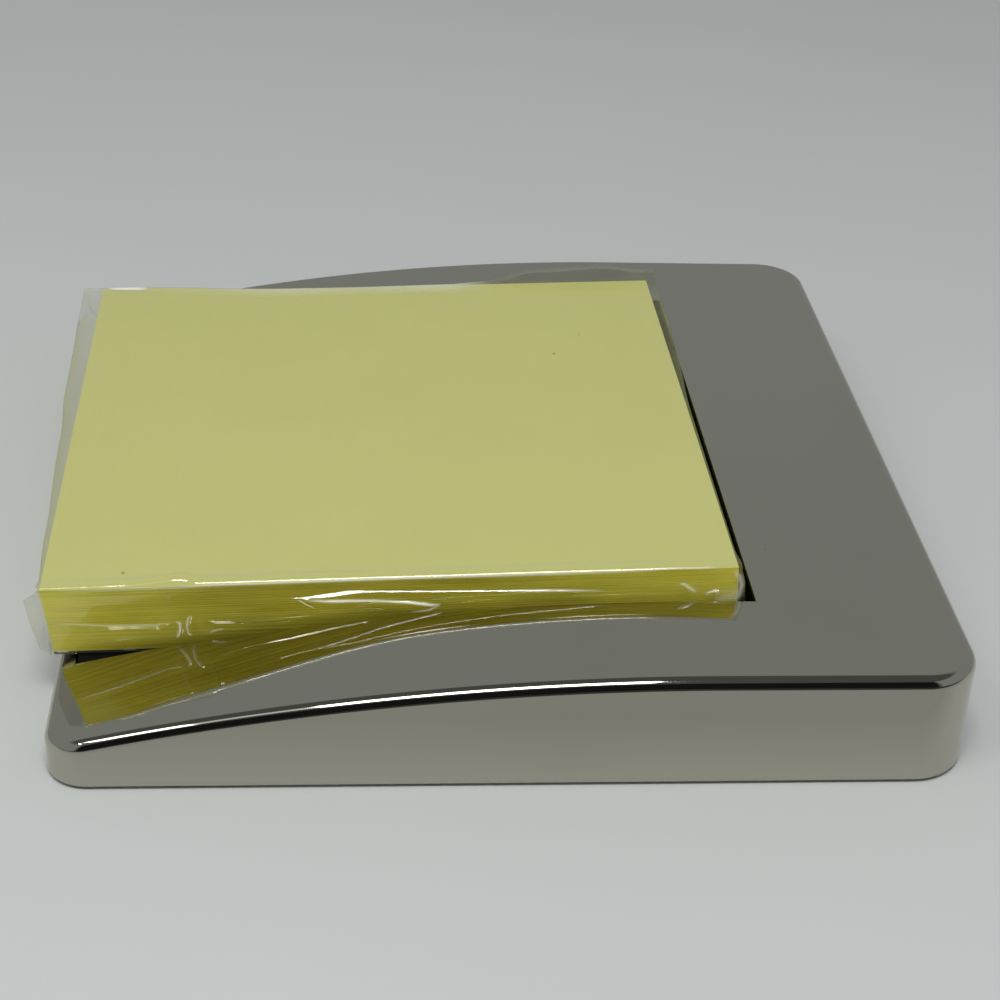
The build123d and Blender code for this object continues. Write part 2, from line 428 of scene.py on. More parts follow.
class Skin:
    """Mesh that is gathered face by face, with its own normal at every corner."""

    def __init__(self):
        self.places = {}
        self.faces = []
        self.normals = []

    def face(self, corners):
        """One face from (point, normal) corners."""
        self.faces.append([self.places.setdefault(tuple(point), len(self.places)) for point, _ in corners])
        self.normals.extend(tuple(normal) for _, normal in corners)

    def patch(self, rows):
        """Faces between neighbouring rows of corners."""
        for low, high in zip(rows, rows[1:]):
            for left in range(len(low) - 1):
                self.face([low[left], low[left + 1], high[left + 1], high[left]])

    def fill(self, outer, hole, scattered, flipped):
        """Triangles between an outer loop and a hole, through scattered corners between them."""
        corners = outer + hole + scattered
        edges = loop_edges(0, len(outer)) + loop_edges(len(outer), len(hole))
        flat = [point.to_2d() for point, _ in corners]
        inside_only = 1
        _, _, faces, sources, _, _ = delaunay_2d_cdt(flat, edges, [], inside_only, fill_tolerance)
        for face in faces:
            chosen = [corners[sources[index][0]] for index in face]
            middle = sum((point for point, _ in chosen), Vector()) / len(chosen)
            if hole and inside_window(middle.x, middle.y, 0):
                continue
            self.face(chosen[::-1] if flipped else chosen)

    def mesh(self, name):
        """The gathered faces as a mesh in metres."""
        made = bpy.data.meshes.new(name)
        made.from_pydata(in_metres(self.places), [], self.faces)
        made.shade_smooth()
        made.normals_split_custom_set(self.normals)
        return made


def loop_edges(first, count):
    """Edges of a closed loop of numbered points."""
    return [(first + step, first + (step + 1) % count) for step in range(count)]


def inside_window(x, y, margin):
    """True inside the cover's window, widened by a margin."""
    across = window_left - margin < x < window_right + margin
    return across and window_front - margin < y < window_back + margin


def closed(ring):
    """A ring with its first corner repeated at the end."""
    return ring + ring[:1]


def footprint(inset):
    """Points and outward normals round the cover's footprint, drawn in by an inset."""
    corners = []
    for quarter, (side_x, side_y) in enumerate([(1, -1), (1, 1), (-1, 1), (-1, -1)]):
        corner_radius = right_corner_radius if side_x > 0 else left_corner_radius
        radius = corner_radius - inset
        middle_x = side_x * (cover_high.x - corner_radius)
        middle_y = side_y * (cover_high.y - corner_radius)
        centre = Vector((middle_x, middle_y, 0))
        turns = [(quarter - 1 + share) * pi / 2 for share in even_shares(cover_corner_steps)]
        normals = [Vector((cos(turn), sin(turn), 0)) for turn in turns]
        corners.append([(centre + radius * normal, normal) for normal in normals])
    ring = []
    for corner, following in zip(corners, corners[1:] + corners[:1]):
        start, normal = corner[-1]
        end = following[0][0]
        ring += corner
        ring += [(start.lerp(end, step / cover_side_steps), normal) for step in range(1, cover_side_steps)]
    return ring


def hem_ring(turn):
    """Ring on the skirt's rounded lower edge: turn 0 is on the underside and 1 on the skirt."""
    ring = []
    for point, outward in footprint(skirt_edge_radius):
        centre = Vector((point.x, point.y, cover_low.z + skirt_edge_radius))
        normal = (-up).slerp(outward, turn)
        ring.append((centre + skirt_edge_radius * normal, normal))
    return ring


def top_edge_ring(turn):
    """Ring on the cover's rounded top edge: turn 0 is on the skirt and 1 on the crowned top."""
    ring = []
    for point, outward in footprint(top_edge_radius):
        centre = Vector((point.x, point.y, crown_height(point.x, top_edge_radius)))
        normal = outward.slerp(crown_normal(point.x, top_edge_radius), turn)
        ring.append((centre + top_edge_radius * normal, normal))
    return ring


def window_side(start, end):
    """Rows of one side of the window: over its rounded edge, then down through the wall."""
    wall_normal = Vector((start[1] - end[1], end[0] - start[0], 0)) / 2
    sides_x = {-1: window_left, 1: window_right}
    sides_y = {-1: window_front, 1: window_back}
    rows = []
    for turn in even_shares(cover_edge_steps) + [None]:
        angle = pi / 2 if turn is None else turn * pi / 2
        outset = window_edge_radius * (1 - sin(angle))
        drop = cover_wall if turn is None else window_edge_radius * (1 - cos(angle))
        first = Vector((sides_x[start[0]] + start[0] * outset, sides_y[start[1]] + start[1] * outset))
        last = Vector((sides_x[end[0]] + end[0] * outset, sides_y[end[1]] + end[1] * outset))
        between = [first.lerp(last, step / cover_side_steps) for step in range(1, cover_side_steps)]
        row = []
        for place in [first] + between + [last]:
            normal = (crown_normal(place.x) * cos(angle) + wall_normal * sin(angle)).normalized()
            row.append((Vector((place.x, place.y, crown_height(place.x, drop))), normal))
        rows.append(row)
    return rows


def crown_corners(places, drop, facing):
    """Corners on the crowned surface a given drop down, facing up (1) or down (-1)."""
    return [(Vector((x, y, crown_height(x, drop))), facing * crown_normal(x)) for x, y in places]


def crown_grid():
    """Places on the cover's top that are well clear of its outline and its window."""
    places = []
    margin = right_corner_radius
    for x in np.arange(cover_low.x + margin, cover_high.x - margin, cover_grid_step):
        for y in np.arange(cover_low.y + margin, cover_high.y - margin, cover_grid_step):
            if not inside_window(x, y, cover_grid_step / 2):
                places.append((float(x), float(y)))
    return places


def add_boss(skin, x, y):
    """Screw boss under the cover's top: a stub with a blind bore."""
    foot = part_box("base_plate")[1].z / mm
    top = crown_height(x - boss_diameter / 2, cover_wall / 2)
    turns = [2 * pi * step / boss_steps for step in range(boss_steps)]
    spokes = [Vector((cos(turn), sin(turn), 0)) for turn in turns]
    axis = Vector((x, y, 0))

    def ring(radius, height, aside, above):
        points = [axis + radius * spoke + height * up for spoke in spokes]
        return closed([(point, aside * spoke + above * up) for point, spoke in zip(points, spokes)])

    outer = boss_diameter / 2
    bore = boss_bore / 2
    skin.patch([ring(outer, foot, 1, 0), ring(outer, top, 1, 0)])
    skin.patch([ring(bore, foot, 0, -1), ring(outer, foot, 0, -1)])
    skin.patch([ring(bore, boss_bore_top, -1, 0), ring(bore, foot, -1, 0)])
    skin.face(ring(outer, top, 0, 1)[:-1])
    skin.face(ring(bore, boss_bore_top, 0, -1)[:-1][::-1])


def make_cover():
    """The polished cover: skirt, rounded edges, crowned top, window and screw bosses."""
    skin = Skin()
    wall_ring = footprint(cover_wall)
    foot = [Vector((point.x, point.y, cover_low.z)) for point, _ in wall_ring]
    turns = even_shares(cover_edge_steps)
    outside = [[(point, -up) for point in foot]]
    outside += [hem_ring(turn) for turn in turns]
    outside += [top_edge_ring(turn) for turn in turns]
    skin.patch([closed(ring) for ring in outside])

    ceiling = crown_corners([point.to_2d() for point, _ in wall_ring], cover_wall, -1)
    inside = [
        [(point, -normal) for (point, _), (_, normal) in zip(ceiling, wall_ring)],
        [(point, -normal) for point, (_, normal) in zip(foot, wall_ring)],
    ]
    skin.patch([closed(ring) for ring in inside])

    corners = closed([(-1, -1), (1, -1), (1, 1), (-1, 1)])
    sides = [window_side(start, end) for start, end in zip(corners, corners[1:])]
    for rows in sides:
        skin.patch(rows)
    rim = [(point, crown_normal(point.x)) for rows in sides for point, _ in rows[0][:-1]]
    under_rim = [(point, -crown_normal(point.x)) for rows in sides for point, _ in rows[-1][:-1]]
    skin.fill(outside[-1], rim, crown_corners(crown_grid(), 0, 1), flipped=False)
    skin.fill(ceiling, under_rim, crown_corners(crown_grid(), cover_wall, -1), flipped=True)

    boss_x = cover_high.x - boss_inset
    boss_y = cover_high.y - boss_inset
    for side_x in (-1, 1):
        for side_y in (-1, 1):
            add_boss(skin, side_x * boss_x, side_y * boss_y)
    mesh = skin.mesh("polished_cover")
    return add_piece("polished_cover", mesh, "holder", "cover", [nickel_material()])


def eased(values, places, levels):
    """Levels at given places, with smooth steps between them."""
    values = np.asarray(values, float)
    following = np.clip(np.searchsorted(places, values), 1, len(places) - 1)
    starts = np.take(places, following - 1)
    ends = np.take(places, following)
    share = np.clip((values - starts) / (ends - starts), 0, 1)
    step = share * share * (3 - 2 * share)
    return np.take(levels, following - 1) * (1 - step) + np.take(levels, following) * step


def on_pad(reach, y, height):
    """Places in the part's frame of points along, across and above the pad's sloping underside."""
    reach, y, height = np.broadcast_arrays(*(np.asarray(value, float) for value in (reach, y, height)))
    share = height / pad_thickness
    near_front = np.clip((pad_back - y) / pad_side, 0, 1)
    swell = share * eased(reach, swell_places, swell_shares) * near_front
    curl = share * eased(reach, curl_places, curl_shares) * (1 - near_front)
    slid = eased(reach, right_slide_places, right_slide_shares)
    slid = slid * eased(y, right_slide_ys, right_slide_back_shares)
    along = (reach + share * (right_slide * slid - pad_lean))[..., None] * np.array(pad_along)
    upward = (height + pad_swell * swell + pad_curl * curl)[..., None] * np.array(pad_upward)
    points = np.array(pad_corner) + along + upward
    points[..., 1] += y - pad_slide * swell
    return points


def make_note_stack():
    """The notes as separate thin sheets, each a little out of line with the next."""
    shuffle = random.Random(sheet_seed)
    pitch = (pad_thickness - card_thickness) / sheet_count
    stations = np.linspace(0, pad_side, sheet_stations + 1)
    points = []
    faces = []
    slots = []
    edge_colours_and_painted_light = []
    for sheet in range(sheet_count):
        low = card_thickness + sheet * pitch
        high = low + pitch * sheet_fill_share
        loose_share = 0 if sheet == sheet_count - 1 else 1
        slide = loose_share * shuffle.uniform(-sheet_jitter, sheet_jitter)
        front = pad_front + loose_share * shuffle.uniform(0, sheet_jitter)
        back = pad_back - loose_share * shuffle.uniform(0, sheet_jitter)
        tone_shift = shuffle.uniform(-edge_tone_spread_share, edge_tone_spread_share)
        outline = [(front, low), (front, high), (back, high), (back, low)]
        sides = len(outline)
        first = len(points)
        last = first + sides * sheet_stations
        for reach in stations + slide:
            for y, height in outline:
                points.append(on_pad(reach, y, height))
                # Painted light and shade along the pad, shifted a little for each sheet
                edge_colours_and_painted_light.append(float(eased(reach, edge_painted_light_places, edge_painted_light_shares)) + tone_shift)
        for station in range(sheet_stations):
            for side in range(sides):
                here = first + sides * station + side
                along = first + sides * station + (side + 1) % sides
                faces.append((here, here + sides, along + sides, along))
                slots.append(1 - side % 2)
        faces += [tuple(range(first, first + sides)), tuple(range(last, last + sides))[::-1]]
        slots += [1, 1]
    mesh = bpy.data.meshes.new("note_stack")
    mesh.from_pydata(in_metres(points), [], faces)
    mesh.attributes.new("edge_colour_and_painted_light", "FLOAT", "POINT").data.foreach_set("value", edge_colours_and_painted_light)
    materials = [paper_material(), sheet_edge_material()]
    piece = add_piece("note_stack", mesh, "wrapped_pad", "note_block", materials)
    mesh.polygons.foreach_set("material_index", slots)
    return piece


def crease_height(along, across, points, height, half_width):
    """Ridge of a given height along a line of points, which dies away at both its ends."""
    nearest = np.full(along.shape, np.inf)
    run = np.zeros(along.shape)
    done = 0
    for start, end in zip(points, points[1:]):
        way_along = end[0] - start[0]
        way_across = end[1] - start[1]
        length = np.hypot(way_along, way_across)
        share = ((along - start[0]) * way_along + (across - start[1]) * way_across) / length**2
        share = np.clip(share, 0, 1)
        distance = np.hypot(along - start[0] - share * way_along, across - start[1] - share * way_across)
        closer = distance < nearest
        nearest = np.where(closer, distance, nearest)
        run = np.where(closer, done + share * length, run)
        done += length
    taper = 1 - np.abs(2 * run / done - 1)**crease_taper_power
    return height * taper * np.exp(-(nearest / half_width)**2)


def slanted_crease(reach, height, points, rise_share):
    """Crease whose upper side slants out at an even pitch below its line, and falls back more gently."""
    places, lines, rises = (np.array(values) for values in zip(*points))
    below = np.interp(reach, places, lines) - height
    depth = np.interp(reach, places, rises)
    fall = rise_share * depth - crease_fall_share * (below - depth)
    return np.clip(np.minimum(rise_share * below, fall), 0, None) * (depth > 0)


def ripple(along, across, length, width, seed):
    """Gentle uneven waves, about as long and as wide as given, between -1 and 1."""
    draw = random.Random(seed)
    total = np.zeros(np.broadcast(along, across).shape)
    for _ in range(ripple_waves):
        turn = draw.uniform(0, 2 * pi)
        stretch = draw.uniform(*ripple_stretch_shares)
        lean = draw.uniform(-ripple_lean_share, ripple_lean_share)
        total += np.sin(2 * pi * stretch * (along / length + lean * across / width) + turn + across / width)
    return total / ripple_waves


def front_stand_off(reach, height):
    """How far the film stands out beyond its even run down the pad's front."""
    total = front_ripple_depth * ripple(reach, height, **front_ripple)
    total += eased(reach, front_gap_places, front_bulges) * np.sin(pi * height / pad_thickness)
    for points, fold, half_width in seam_folds:
        total += crease_height(reach, height, points, fold, half_width)
    for points in front_creases:
        total += slanted_crease(reach, height, points, crease_rise_share)
    return total + slanted_crease(reach, height, low_crease, low_crease_rise_share)


def film_top(reach, y):
    """Height of the film over the pad's top."""
    total = pad_thickness + film_top_gap + top_ripple_depth * ripple(reach, y, **top_ripple)
    front_share = np.clip(1 - (y - pad_front) / front_lift_run, 0, 1)
    total += eased(reach, front_edge_places, front_edge_lifts) * front_share**2
    back_share = np.clip(1 - (pad_back - y) / back_lift_run, 0, 1)
    return total + eased(reach, back_edge_places, back_edge_lifts) * back_share**2


def film_painted_highlights_and_haze(reach, y, height):
    """Share of white painted into the film: painted highlights along creases on its front, a painted glint
    beside its back edge, and a painted reflection where it rolls over the back edge.
    """
    total = np.zeros(reach.shape)
    on_front = (y < pad_front) & (height > 0)
    for points, highlight_share, half_width in painted_highlight_lines:
        total += crease_height(reach, height, points, highlight_share, half_width) * on_front
    on_top = np.clip(1 - (pad_thickness - height) / back_painted_light_drop, 0, 1)
    glint = crease_height(reach, y, back_glint, back_glint_share, back_glint_half_width)
    near_back = np.clip(1 - (pad_back - y) / back_painted_reflection_run, 0, 1)
    # Painted reflection where the film rolls over the back edge
    haze_and_painted_light = eased(reach, back_painted_reflection_places, back_painted_reflection_shares) * near_back
    return np.clip(total + (glint + haze_and_painted_light) * on_top, 0, 1)


def film_columns():
    """Distances from the pad's left end, closer together about the seam."""
    before = np.arange(0, film_seam_start, film_coarse_step)
    seam = np.arange(film_seam_start, film_seam_end, film_fine_step)
    after = np.linspace(film_seam_end, pad_side, round((pad_side - film_seam_end) / film_coarse_step))
    return np.concatenate([before, seam, after])


def film_rows(reach):
    """The film's rows from the lap under the pad, up its front, over its top and down its back."""
    even = np.ones(reach.shape)
    low = -film_under_gap
    front = pad_front - eased(reach, front_gap_places, front_gaps)
    back = pad_back + film_back_gap + eased(reach, back_edge_places, back_bulges)
    low_back = pad_back + film_back_gap
    edge = eased(reach, front_edge_places, front_edge_radii)
    back_edge = eased(reach, back_edge_places, back_edge_radii)
    top_front = film_top(reach, pad_front * even)
    top_back = film_top(reach, pad_back * even)
    turns = np.linspace(0, pi / 2, film_corner_steps + 1)
    rows = []
    lap_ys = np.linspace(film_lap / 2, pad_front + film_lap_inset, film_lap_rows)
    rows += [(y * even, low * even) for y in lap_ys]
    for turn in turns[::film_low_stride]:
        y = front + film_low_radius * (1 - sin(turn))
        rows.append((y, (low + film_low_radius * (1 - cos(turn))) * even))
    count = round(pad_thickness / film_front_step)
    for share in np.linspace(0, 1, count)[1:-1]:
        height = low + film_low_radius + share * (top_front - edge - low - film_low_radius)
        fade = np.clip(np.minimum(share, 1 - share) * film_fade_rate, 0, 1)
        rows.append((front - front_stand_off(reach, height) * fade, height))
    for turn in turns:
        rows.append((front + edge * (1 - cos(turn)), top_front - edge * (1 - sin(turn))))
    top_shares = np.concatenate([np.linspace(*stretch) for stretch in film_top_row_shares])
    for share in top_shares[1:-1]:
        y = front + edge + share * (back - back_edge - front - edge)
        height = film_top(reach, y)
        near_front = np.clip((y - front - edge) / film_settle_run, 0, 1)
        near_back = np.clip((back - back_edge - y) / film_settle_run, 0, 1)
        height = top_front + (height - top_front) * near_front
        rows.append((y, top_back + (height - top_back) * near_back))
    for turn in turns:
        rows.append((back - back_edge * (1 - sin(turn)), top_back - back_edge * (1 - cos(turn))))
    for share in np.linspace(0, 1, film_back_rows)[1:-1]:
        height = top_back - back_edge + share * (low + film_low_radius - top_back + back_edge)
        rows.append((back + (low_back - back) * np.clip(share * film_back_draw_rate, 0, 1), height))
    for turn in turns[::film_low_stride]:
        y = low_back - film_low_radius * (1 - cos(turn))
        rows.append((y * even, (low + film_low_radius * (1 - sin(turn))) * even))
    back_ys = np.linspace(pad_back - film_lap_inset, -film_lap / 2, film_lap_rows)
    rows += [(y * even, (low - film_lap_gap) * even) for y in back_ys]
    ys, heights = zip(*rows)
    return np.array(ys), np.array(heights)


def film_ear(ys, heights, ear):
    """How far each row of the film stands out past one end of the pad."""
    over_top = eased(ys, ear["ys"], ear["tops"])
    on_front = eased(heights, ear["heights"], ear["fronts"])
    top_share = eased(heights / pad_thickness, ear_rise_shares, [0, 1])
    front_share = np.clip((pad_front + ear_front_run - ys) / ear_front_run, 0, 1)
    low = np.minimum(over_top, ear_low)
    elsewhere = low + (over_top - low) * top_share
    return elsewhere * (1 - front_share) + on_front * front_share


def film_end(ys, heights, ear, start, side):
    """Columns of the film past one end of the pad: out to a rim, then down and in over the end."""
    middle_y = (pad_front + pad_back) / 2
    middle_height = pad_thickness / 2
    rim = film_ear(ys, heights, ear)
    shares = even_shares(film_end_steps)[1:]
    columns = [(start + side * rim * share, ys, heights) for share in shares]
    for share in shares:
        waves = ripple(ys, heights + end_crinkle_shift * share, **end_crinkle)
        crinkle = end_crinkle_depth * waves * share * (1 - share)
        reach = rim * (1 - share**2) + film_end_gap * share + np.abs(crinkle)
        height = middle_height + (heights - middle_height) * (1 - end_gather_share * share)
        y = middle_y + (ys - middle_y) * (1 - end_narrow_share * share)
        columns.append((start + side * reach, y, height))
    return columns


def make_film():
    """The clear film round the pad: one sheet, lapped under the pad and folded in at both ends."""
    reach = film_columns()
    ys, heights = film_rows(reach)
    reaches = np.broadcast_to(reach, ys.shape)
    left = film_end(ys[:, 0], heights[:, 0], left_ear, 0, -1)[::-1]
    right = film_end(ys[:, -1], heights[:, -1], right_ear, pad_side, 1)
    columns = left + [(reaches, ys, heights)] + right
    grids = [np.column_stack(values) for values in zip(*columns)]
    points = on_pad(*grids)
    row_count, column_count = grids[0].shape
    faces = []
    for row in range(row_count - 1):
        for column in range(column_count - 1):
            first = row * column_count + column
            faces.append((first, first + 1, first + column_count + 1, first + column_count))
    mesh = bpy.data.meshes.new("film_wrap")
    mesh.from_pydata(in_metres(points.reshape(-1, 3)), [], faces)
    mesh.shade_smooth()
    rims = (film_end_steps, column_count - 1 - film_end_steps)
    for edge in mesh.edges:
        first, second = (corner % column_count for corner in edge.vertices)
        edge.use_edge_sharp = first == second and first in rims
    # Painted highlights and painted reflection, carried on the film's points
    painted_highlights_and_haze = film_painted_highlights_and_haze(*grids)
    mesh.attributes.new("painted_highlights_and_haze", "FLOAT", "POINT").data.foreach_set("value", painted_highlights_and_haze.ravel())
    piece = add_piece("film_wrap", mesh, "wrapped_pad", "wrapper", [film_material()])
    return piece


def make_felt():
    """The felt that the holder stands on, with a softly rounded edge."""
    felt_low, felt_high = (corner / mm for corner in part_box("base_felt"))
    inset = cover_high.x - felt_high.x
    rows = []
    for step in range(2 * felt_edge_steps + 1):
        turn = (step / felt_edge_steps - 1) * pi / 2
        outset = felt_edge_radius * (1 - cos(turn))
        middle = felt_low.z + felt_edge_radius if turn < 0 else felt_high.z - felt_edge_radius
        height = middle + felt_edge_radius * sin(turn)
        row = []
        for point, outward in footprint(inset + outset):
            normal = (outward * cos(turn) + up * sin(turn)).normalized()
            row.append((Vector((point.x, point.y, height)), normal))
        rows.append(row)
    skin = Skin()
    skin.patch([closed(row) for row in rows])
    skin.fill([(point, up) for point, _ in rows[-1]], [], [], flipped=False)
    skin.fill([(point, -up) for point, _ in rows[0]], [], [], flipped=True)
    mesh = skin.mesh("felt_sheet")
    piece = add_piece("felt_sheet", mesh, "holder", "base_felt", [felt_material()])
    return piece


def set_inputs(node, inputs):
    """Values or links on a node's inputs."""
    for name, value in inputs.items():
        if isinstance(value, bpy.types.NodeSocket):
            node.id_data.links.new(value, node.inputs[name])
        else:
            node.inputs[name].default_value = value


def add_node(tree, kind, inputs=None, **settings):
    """A shader node of a kind, with values or links on its inputs and settings on the node."""
    node = tree.nodes.new("ShaderNode" + kind)
    for name, value in settings.items():
        setattr(node, name, value)
    set_inputs(node, inputs or {})
    return node


def new_material(name, finish):
    """A material with its node tree and its main shader, which has a given finish."""
    material = bpy.data.materials.new(name)
    material.use_nodes = True
    tree = material.node_tree
    shader = tree.nodes["Principled BSDF"]
    set_inputs(shader, finish)
    return material, tree, shader


def calculated(tree, operation, first, second=0.0):
    """Result of one step of arithmetic on values or links."""
    return add_node(tree, "Math", {0: first, 1: second}, operation=operation).outputs["Value"]


def pattern(tree, grain, detail=4.0, stretch=(1, 1, 1)):
    """Cloudy pattern in the part's own frame, with a grain in millimetres."""
    place = add_node(tree, "TexCoord").outputs["Object"]
    mapping = add_node(tree, "Mapping", {"Vector": place, "Scale": stretch})
    inputs = {"Vector": mapping.outputs["Vector"], "Scale": 1 / (grain * mm), "Detail": detail}
    return add_node(tree, "TexNoise", inputs).outputs["Fac"]


def specks(tree, spacing, size):
    """Mask of scattered round specks: 1 on a speck and 0 elsewhere, sizes in millimetres."""
    place = add_node(tree, "TexCoord")
    inputs = {"Vector": place.outputs["Object"], "Scale": 1 / (spacing * mm)}
    cells = add_node(tree, "TexVoronoi", inputs)
    return spread(tree, cells.outputs["Distance"], (1, 0), (size / spacing / 2, size / spacing))


def spread(tree, source, levels, span=mid_span_shares):
    """A value mapped from a span to two levels, held beyond its ends."""
    inputs = {"Value": source, "From Min": span[0], "From Max": span[1]}
    inputs.update({"To Min": levels[0], "To Max": levels[1]})
    return add_node(tree, "MapRange", inputs).outputs["Result"]


def blended(tree, share, first, second):
    """Colour between two colours by a share."""
    # Inputs 6 and 7 and output 2 are the node's colours
    return add_node(tree, "Mix", {"Factor": share, 6: first, 7: second}, data_type="RGBA").outputs[2]


def bump(tree, source, depth):
    """Bump of a given depth in millimetres."""
    inputs = {"Height": source, "Distance": depth * mm}
    return add_node(tree, "Bump", inputs).outputs["Normal"]


def nickel_material():
    """Mirror-polished nickel with faint clouds of handling and a few specks of dust."""
    material, tree, shader = new_material("mirror_nickel", metal_finish)
    clouds = pattern(tree, nickel_cloud_grain)
    colour = blended(tree, spread(tree, clouds, nickel_dull_shares, high_span_shares), nickel, nickel_dull)
    colour = blended(tree, specks(tree, dust_spacing, dust_size), colour, dust)
    smears = pattern(tree, nickel_smear_grain, detail=6.0)
    roughness = spread(tree, smears, nickel_roughness_shares, nickel_smear_shares)
    set_inputs(shader, {"Base Color": colour, "Roughness": roughness})
    return material


def tray_material():
    """Black moulded plastic with a fine spark-eroded texture."""
    material, tree, shader = new_material("textured_black_plastic", tray_finish)
    grain = pattern(tree, tray_grain)
    colour = blended(tree, grain, tray_dark, tray_light)
    roughness = spread(tree, pattern(tree, tray_smear_grain), tray_roughness_shares)
    texture = bump(tree, grain, tray_grain_depth)
    set_inputs(shader, {"Base Color": colour, "Roughness": roughness, "Normal": texture})
    return material


def plate_material():
    """Satin black paint on steel, with a slight orange peel."""
    material, tree, shader = new_material("satin_black_paint", {})
    peel = bump(tree, pattern(tree, plate_peel_grain, detail=2.0), plate_peel_depth)
    colour = blended(tree, pattern(tree, plate_cloud_grain), plate_dark, plate_light)
    roughness = spread(tree, pattern(tree, plate_smear_grain), plate_roughness_shares)
    set_inputs(shader, {"Base Color": colour, "Roughness": roughness, "Normal": peel})
    return material


def zinc_material():
    """Bright zinc plate with a faint bluish bloom."""
    material, tree, shader = new_material("bright_zinc", metal_finish)
    colour = blended(tree, pattern(tree, zinc_bloom_grain), zinc_cool, zinc_warm)
    roughness = spread(tree, pattern(tree, zinc_smear_grain), zinc_roughness_shares)
    set_inputs(shader, {"Base Color": colour, "Roughness": roughness})
    return material


def felt_material():
    """Pressed black felt: matted fibres with a soft sheen."""
    material, tree, shader = new_material("pressed_felt", felt_finish)
    fibres = pattern(tree, felt_fibre_grain, detail=8.0, stretch=felt_fibre_stretch_shares)
    colour = blended(tree, fibres, felt_dark, felt_light)
    set_inputs(shader, {"Base Color": colour, "Normal": bump(tree, fibres, felt_fibre_depth)})
    return material


def paper_material():
    """Plain yellow note paper: a faint cloud of fibres and a few specks."""
    material, tree, shader = new_material("yellow_note_paper", paper_finish)
    fibres = pattern(tree, paper_fibre_grain, detail=6.0)
    colour = blended(tree, pattern(tree, paper_cloud_grain), paper, paper_pale)
    colour = blended(tree, specks(tree, paper_speck_spacing, paper_speck_size), colour, paper_speck)
    set_inputs(shader, {"Base Color": colour, "Normal": bump(tree, fibres, paper_fibre_depth)})
    return material


def sheet_edge_material():
    """Cut edges of the notes: each sheet slightly different in colour, with streaks along the cut, and
    painted light and shade, lighter towards the pad's ends and darker in its middle.
    """
    material, tree, shader = new_material("cut_note_edges", edge_finish)
    edge_colour_and_painted_light = add_node(tree, "Attribute", attribute_name="edge_colour_and_painted_light").outputs["Fac"]
    cut = pattern(tree, edge_streak_grain, detail=3.0, stretch=edge_streak_stretch_shares)
    streaks = spread(tree, cut, edge_streak_shares)
    mixed = calculated(tree, "ADD", edge_colour_and_painted_light, streaks)
    colour = blended(tree, spread(tree, mixed, (0, 1), (0, 1)), edge_dark, edge_light)
    set_inputs(shader, {"Base Color": colour})
    return material


def card_material():
    """Thin backing board with visible pulp, painted dark grey as painted shade under the pad."""
    material, tree, shader = new_material("backing_card_painted_shade", card_finish)
    pulp = pattern(tree, card_pulp_grain, detail=8.0)
    colour = blended(tree, pulp, card_painted_shade_dark, card_painted_shade_light)
    set_inputs(shader, {"Base Color": colour, "Normal": bump(tree, pulp, card_pulp_depth)})
    return material


def film_material():
    """Thin clear film: sees through, mirrors more at a slant, and is a little milky in patches, with
    painted highlights and a painted reflection laid on in white.
    """
    material, tree, haze_and_painted_light = new_material("clear_wrapping_film", film_haze_and_painted_light_finish)
    clear = add_node(tree, "BsdfTransparent", {"Color": film_clear}).outputs["BSDF"]
    gloss = add_node(tree, "BsdfAnisotropic", film_gloss_finish).outputs["BSDF"]
    slant = add_node(tree, "LayerWeight").outputs["Facing"]
    steep = calculated(tree, "POWER", slant, film_slant_power)
    mirror = spread(tree, steep, (film_facing_share, 1), (0, 1))
    patches = spread(tree, pattern(tree, film_patch_grain), film_patch_shares, high_span_shares)
    # Painted highlights and painted reflection turn the film white where they lie
    painted_highlights_and_haze = add_node(tree, "Attribute", attribute_name="painted_highlights_and_haze").outputs["Fac"]
    haze_and_painted_highlight_share = calculated(tree, "MAXIMUM", patches, painted_highlights_and_haze)
    body = add_node(tree, "MixShader", {0: haze_and_painted_highlight_share, 1: clear, 2: haze_and_painted_light.outputs["BSDF"]}).outputs["Shader"]
    whole = add_node(tree, "MixShader", {0: mirror, 1: body, 2: gloss}).outputs["Shader"]
    set_inputs(tree.nodes["Material Output"], {"Surface": whole})
    return material


def make_camera():
    """The camera at the photograph's place and angle."""
    outward = Vector((sin(camera_yaw), cos(camera_yaw), 0))
    level = Vector((cos(camera_yaw), -sin(camera_yaw), 0))
    ahead = cos(camera_pitch) * outward - sin(camera_pitch) * up
    below = ahead.cross(level)
    right = cos(camera_roll) * level + sin(camera_roll) * below
    down = cos(camera_roll) * below - sin(camera_roll) * level
    data = bpy.data.cameras.new("camera")
    data.lens = camera_lens
    data.sensor_width = camera_sensor
    data.clip_start = camera_clip * mm
    camera = add_object("camera", data)
    turned = Matrix((right, -down, -ahead)).transposed().to_4x4()
    camera.matrix_world = Matrix.Translation(Vector(camera_place) * mm) @ turned
    bpy.context.scene.camera = camera


def make_table():
    """The pale matt table that the holder stands on."""
    reach = table_reach
    corners = [(-reach, -reach, 0), (reach, -reach, 0), (reach, reach, 0), (-reach, reach, 0)]
    mesh = bpy.data.meshes.new("table")
    mesh.from_pydata(in_metres(corners), [], [(0, 1, 2, 3)])
    table = add_object("table", mesh)
    material, tree, shader = new_material("matt_table", table_finish)
    colour = blended(tree, pattern(tree, table_cloud_grain), table_colour, table_shade)
    place = add_node(tree, "TexCoord").outputs["Object"]
    depth = add_node(tree, "SeparateXYZ", {"Vector": place}).outputs["Y"]
    mirrored = add_node(tree, "LightPath").outputs["Is Glossy Ray"]
    for near, far, left_share in mirrored_shade_steps:
        shade = spread(tree, depth, (1 - left_share, 0), (far * mm, near * mm))
        colour = blended(tree, calculated(tree, "MULTIPLY", shade, mirrored), colour, black)
    set_inputs(shader, {"Base Color": colour})
    mesh.materials.append(material)


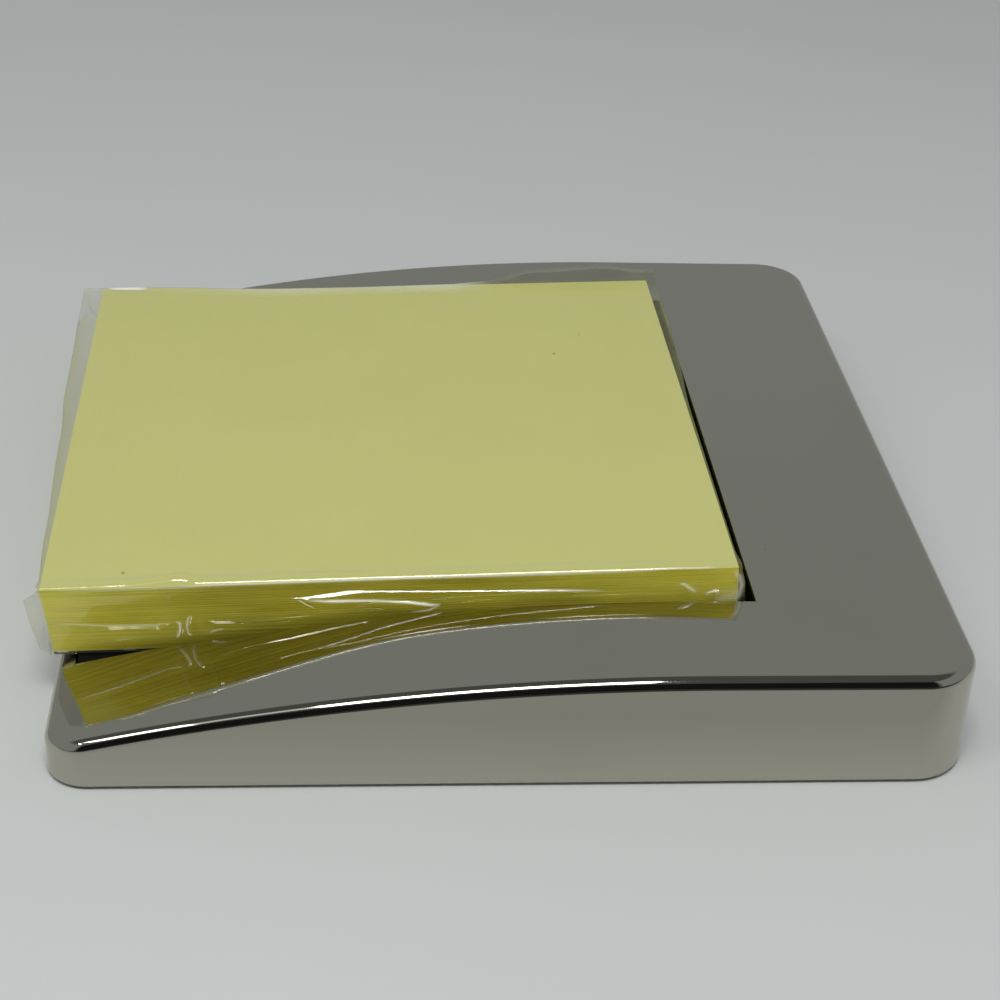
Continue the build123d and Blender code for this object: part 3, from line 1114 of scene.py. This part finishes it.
def soften(data):
    """Makes a lamp fade out towards its near and far sides."""
    data.use_nodes = True
    tree = data.node_tree
    place = add_node(tree, "NewGeometry").outputs["Parametric"]
    across = add_node(tree, "SeparateXYZ", {"Vector": place}).outputs["Y"]
    aside = spread(tree, across, (-1, 1), (0, 1))
    left = calculated(tree, "SUBTRACT", 1.0, calculated(tree, "MULTIPLY", aside, aside))
    level = calculated(tree, "POWER", left, lamp_softness)
    set_inputs(tree.nodes["Emission"], {"Strength": level})


def make_lamps():
    """Soft lamps side by side above the camera's side of the table, facing down."""
    for number, (left, right, level_share) in enumerate(lamp_spans):
        data = bpy.data.lights.new(f"soft_lamp_{number}", "AREA")
        data.shape = "RECTANGLE"
        data.size = (right - left) * mm
        data.size_y = (lamp_near - lamp_far) * mm
        data.energy = level_share * lamp_brightness * pi * data.size * data.size_y
        soften(data)
        lamp = add_object(data.name, data)
        lamp.location = Vector(((left + right) / 2, (lamp_near + lamp_far) / 2, lamp_height)) * mm
        lamp.visible_camera = False


def make_world():
    """Even light all round; polished pieces mirror a pale room with a dark patch behind the camera."""
    world = bpy.data.worlds.new("room")
    world.use_nodes = True
    bpy.context.scene.world = world
    tree = world.node_tree
    direction = add_node(tree, "TexCoord").outputs["Generated"]
    parts = add_node(tree, "SeparateXYZ", {"Vector": direction}).outputs
    to_front = calculated(tree, "MULTIPLY", parts["Y"], -1.0)
    aside = calculated(tree, "ABSOLUTE", calculated(tree, "ARCTAN2", parts["X"], to_front))
    sides = [radians(angle) for angle in room_dark_side_angles]
    ahead = spread(tree, aside, (room_dark_share, 0), sides)
    tops = [sin(radians(angle)) for angle in room_dark_top_angles]
    dark = calculated(tree, "MULTIPLY", ahead, spread(tree, parts["Z"], (1, 0), tops))
    heights = [sin(radians(angle)) for angle in room_high_angles]
    level = spread(tree, parts["Z"], room_levels, heights)
    left = calculated(tree, "SUBTRACT", level, calculated(tree, "MULTIPLY", level, dark))
    mirrored = add_node(tree, "VectorMath", {0: room_tint, "Scale": left}, operation="SCALE")
    rays = add_node(tree, "LightPath").outputs
    seen = calculated(tree, "MAXIMUM", rays["Is Camera Ray"], rays["Is Transmission Ray"])
    colour = blended(tree, rays["Is Glossy Ray"], around, mirrored.outputs["Vector"])
    colour = blended(tree, seen, colour, backdrop)
    set_inputs(tree.nodes["Background"], {"Color": colour})


make_camera()
make_world()
make_lamps()
make_table()
make_cover()
make_note_stack()
make_film()
make_felt()
carried_over = {
    "pocket_tray": tray_material(),
    "base_plate": plate_material(),
    "base_screws": zinc_material(),
    "backing_sheet": card_material(),
}
for node, material in carried_over.items():
    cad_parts[node].material_slots[0].material = material

bpy.context.scene.view_settings.view_transform = "Standard"
